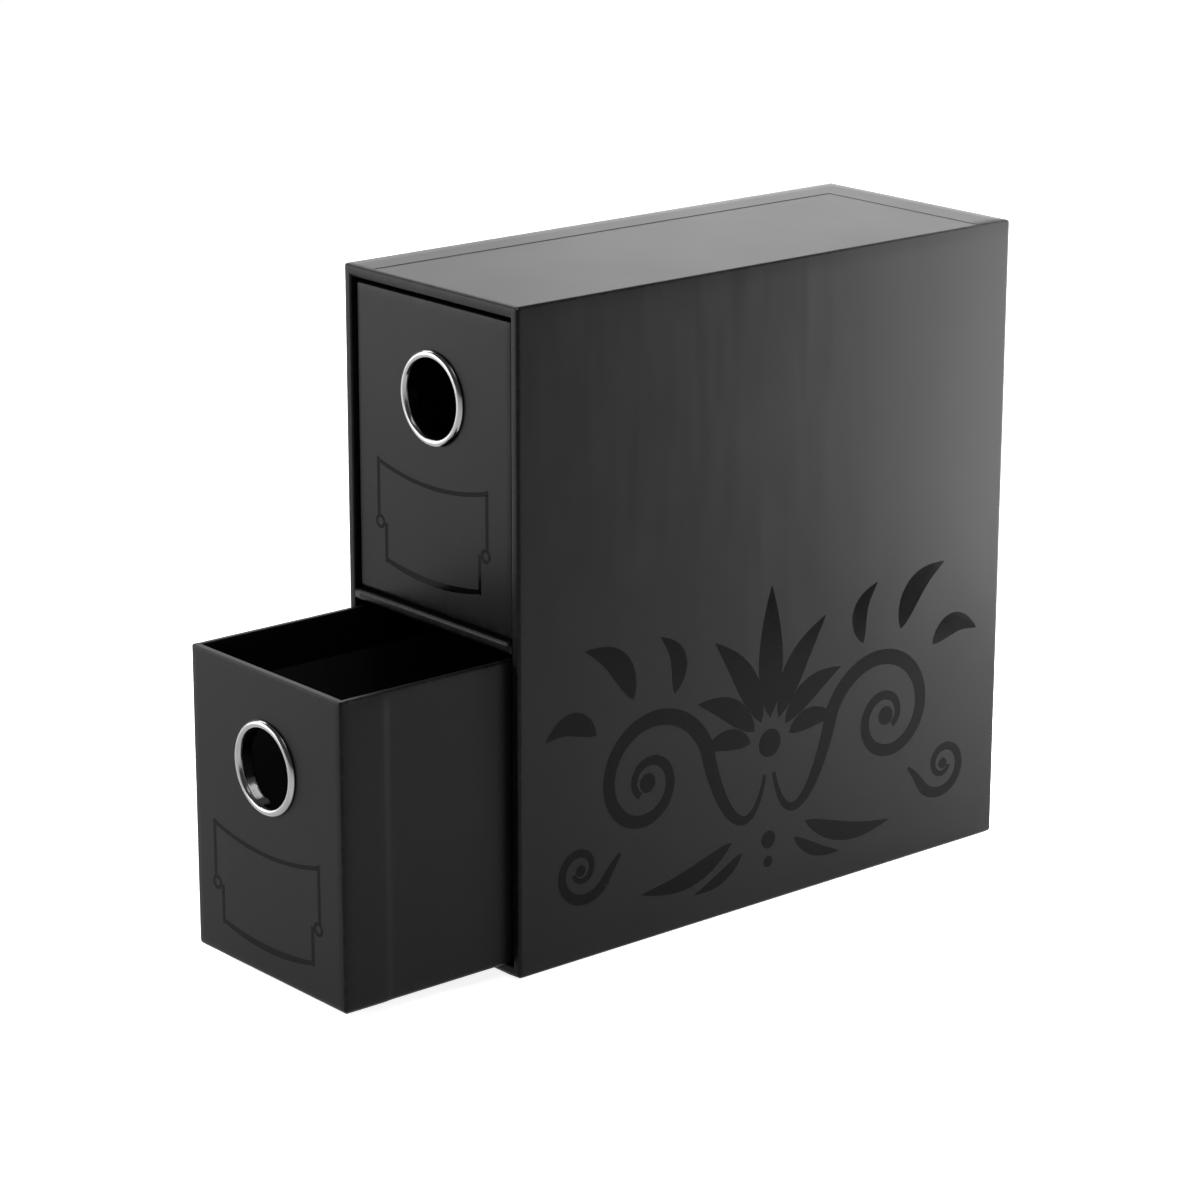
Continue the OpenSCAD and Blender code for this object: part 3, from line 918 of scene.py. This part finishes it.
def chrome():
    """Chrome plate: hair scratches and smears that vary its polish."""
    material, tree, shader, coords = new_material("chrome")
    scratches = noise_texture(tree, coords, detail=4, stretch=(3500, 700, 3500))
    smears = noise_texture(tree, coords, scale=260)
    colour = mix_colour(tree, smears, (0.19, 0.19, 0.193), (0.24, 0.24, 0.243))
    tree.links.new(colour, shader.inputs["Base Color"])
    shader.inputs["Metallic"].default_value = 1.0
    rough = remap(tree, scratches, (0.35, 0.75), (0.12, 0.18))
    rough = maths(tree, "ADD", rough, remap(tree, smears, (0.4, 0.8), (0, 0.06)))
    tree.links.new(rough, shader.inputs["Roughness"])
    bump(tree, shader, scratches, distance=0.01 * MM, strength=0.25)
    return material


# Pieces

materials = {
    "cover_paper": cover_paper(),
    "chrome": chrome(),
    "greyboard": greyboard(),
    "lining_paper": lining_paper(),
}
print_material = spot_print()
case_nodes = {
    "case_main_sheet": "case_main_wrap",
    "case_back_sheet": "case_back_wrap",
    "case_base_paper": "case_base_sheet",
}

for sheet_name, sheet in case_sheets().items():
    finish_piece(sheet, "case", "cover_paper", materials["cover_paper"], case_nodes[sheet_name])
finish_piece(shelf_sheet(), "case", "cover_paper", materials["cover_paper"], "shelf_wrap")
finish_piece(side_ornament(), "case", "cover_paper", print_material)

for level in ("upper", "lower"):
    drawer = f"{level}_drawer"
    for sheet_name, sheet in drawer_sheets(level).items():
        node = sheet_name.replace("_sheet", "_wrap")
        finish_piece(sheet, drawer, "cover_paper", materials["cover_paper"], node)
    finish_piece(finger_ring(level), drawer, "chrome", materials["chrome"], f"{level}_finger_ring")
    finish_piece(ring_washer(level), drawer, "chrome", materials["chrome"], f"{level}_ring_washer")
    finish_piece(label_frame(level), drawer, "cover_paper", print_material)

for subpart in frame["record"]["subparts"]:
    node_object = frame["nodes"][subpart["node"]]
    node_object.data.materials.clear()
    node_object.data.materials.append(materials[subpart["material_slot"]])


# Stage

FLOOR_HALF = 40.0
FLOOR_COLOUR = 0.8
FLOOR_GLOW = 0.87
WORLD_STRENGTH = 0.15
BAND_TOP = 0.07
BAND_END = 0.15
LAMP_COLOUR = (1.0, 0.985, 0.995)
LAMP_SIDE = 0.6
LAMP_AIM = Vector((0, 0, 0.11))


def seen_directly(tree):
    """A value of 1 for camera, glossy and transmission rays, and 0 for the light on the object."""
    path = tree.nodes.new("ShaderNodeLightPath")
    shown = maths(tree, "MAXIMUM", path.outputs["Is Camera Ray"], path.outputs["Is Glossy Ray"])
    return maths(tree, "MAXIMUM", shown, path.outputs["Is Transmission Ray"])


def floor_material():
    """A white floor: it shows white where it is lit, and keeps the object's shadow."""
    material, tree, shader, _ = new_material("floor")
    shader.inputs["Base Color"].default_value = (FLOOR_COLOUR, FLOOR_COLOUR, FLOOR_COLOUR, 1)
    shader.inputs["Roughness"].default_value = 1.0
    shader.inputs["Specular IOR Level"].default_value = 0.0
    shader.inputs["Emission Color"].default_value = (1, 1, 1, 1)
    glow = maths(tree, "MULTIPLY", seen_directly(tree), FLOOR_GLOW)
    tree.links.new(glow, shader.inputs["Emission Strength"])
    return material


def floor():
    """The plain pale floor that the object stands on."""
    s = FLOOR_HALF
    corners = [(-s, -s, 0), (s, -s, 0), (s, s, 0), (-s, s, 0)]
    obj = make_object("floor", corners, [(0, 1, 2, 3)], smooth=False)
    obj.data.materials.append(floor_material())


def world():
    """A dim even surround, with a white band above the horizon where the floor ends."""
    studio = bpy.data.worlds.new("studio")
    studio.use_nodes = True
    tree = studio.node_tree
    parts = tree.nodes.new("ShaderNodeSeparateXYZ")
    tree.links.new(tree.nodes.new("ShaderNodeTexCoord").outputs["Generated"], parts.inputs["Vector"])
    band = remap(tree, parts.outputs["Z"], (BAND_TOP, BAND_END), (1.0 - WORLD_STRENGTH, 0.0))
    shown = maths(tree, "MULTIPLY", seen_directly(tree), band)
    background = tree.nodes["Background"]
    background.inputs["Color"].default_value = (1, 1, 1, 1)
    tree.links.new(maths(tree, "ADD", shown, WORLD_STRENGTH), background.inputs["Strength"])
    bpy.context.scene.world = studio


def softbox(name, place, target, watts, width=LAMP_SIDE, height=LAMP_SIDE):
    """A rectangular lamp at a place, turned to a target."""
    data = bpy.data.lights.new(name, "AREA")
    data.shape = "RECTANGLE"
    data.size, data.size_y = width, height
    data.energy = watts
    data.color = LAMP_COLOUR
    obj = bpy.data.objects.new(name, data)
    bpy.context.scene.collection.objects.link(obj)
    obj.location = place
    obj.rotation_euler = (Vector(target) - Vector(place)).to_track_quat("-Z", "Y").to_euler()
    obj.visible_camera = False


def lamp_place(azimuth, distance, height, centre=(0, 0)):
    """A place at an azimuth in degrees from +X, a distance and a height, round a centre."""
    a = math.radians(azimuth)
    return Vector((centre[0] + distance * math.cos(a), centre[1] + distance * math.sin(a), height))


def lights():
    """Soft lamps at the back, the left and the front, one above, and a strip at the right back."""
    softbox("left_back", lamp_place(azimuth=140, distance=1.08, height=0.5), LAMP_AIM, watts=2.25)
    softbox("back", lamp_place(azimuth=128, distance=1.12, height=0.35), LAMP_AIM, watts=0.9)
    high_left = lamp_place(azimuth=180, distance=0.95, height=0.85)
    softbox("left_top", high_left, LAMP_AIM, watts=7.7, width=1.0, height=0.45)
    softbox("left", lamp_place(azimuth=215, distance=1.13, height=0.32), LAMP_AIM, watts=5.6)
    softbox("left_front", lamp_place(azimuth=235, distance=1.13, height=0.32), LAMP_AIM, watts=5.5)
    softbox("top", (0.35, 0.15, 1.25), (0, -0.17, 0.07), watts=5.2, width=1.2, height=0.7)
    corner = (back_high.x, back_high.y)
    beside = lamp_place(azimuth=80, distance=0.19, height=0.19, centre=corner)
    softbox("right_back", beside, (back_high.x, 0.06, 0.19), watts=6.6, width=0.3, height=0.36)


# Camera at the photograph's place

CAMERA_PLACE = (0.9623, -0.8559, 0.486)
CAMERA_AZIMUTH = math.radians(49.627)
CAMERA_ELEVATION = math.radians(16.757)
CAMERA_ROLL = math.radians(0.11)
FOCAL_PIXELS = 3890.7
IMAGE_SIDE = 1200
SENSOR = 36
CLIP_START = 0.05
CLIP_END = 50


def camera():
    """A long lens to the right of the front, a little above the box."""
    data = bpy.data.cameras.new("camera")
    data.sensor_width = SENSOR
    data.lens = FOCAL_PIXELS * SENSOR / IMAGE_SIDE
    data.clip_start, data.clip_end = CLIP_START, CLIP_END
    obj = bpy.data.objects.new("camera", data)
    bpy.context.scene.collection.objects.link(obj)
    turn = Matrix.Rotation(CAMERA_AZIMUTH, 4, "Z")
    tilt = Matrix.Rotation(math.pi / 2 - CAMERA_ELEVATION, 4, "X")
    roll = Matrix.Rotation(CAMERA_ROLL, 4, "Z")
    obj.matrix_world = Matrix.Translation(CAMERA_PLACE) @ turn @ tilt @ roll
    bpy.context.scene.camera = obj


floor()
world()
lights()
camera()
bpy.context.scene.view_settings.view_transform = "Standard"
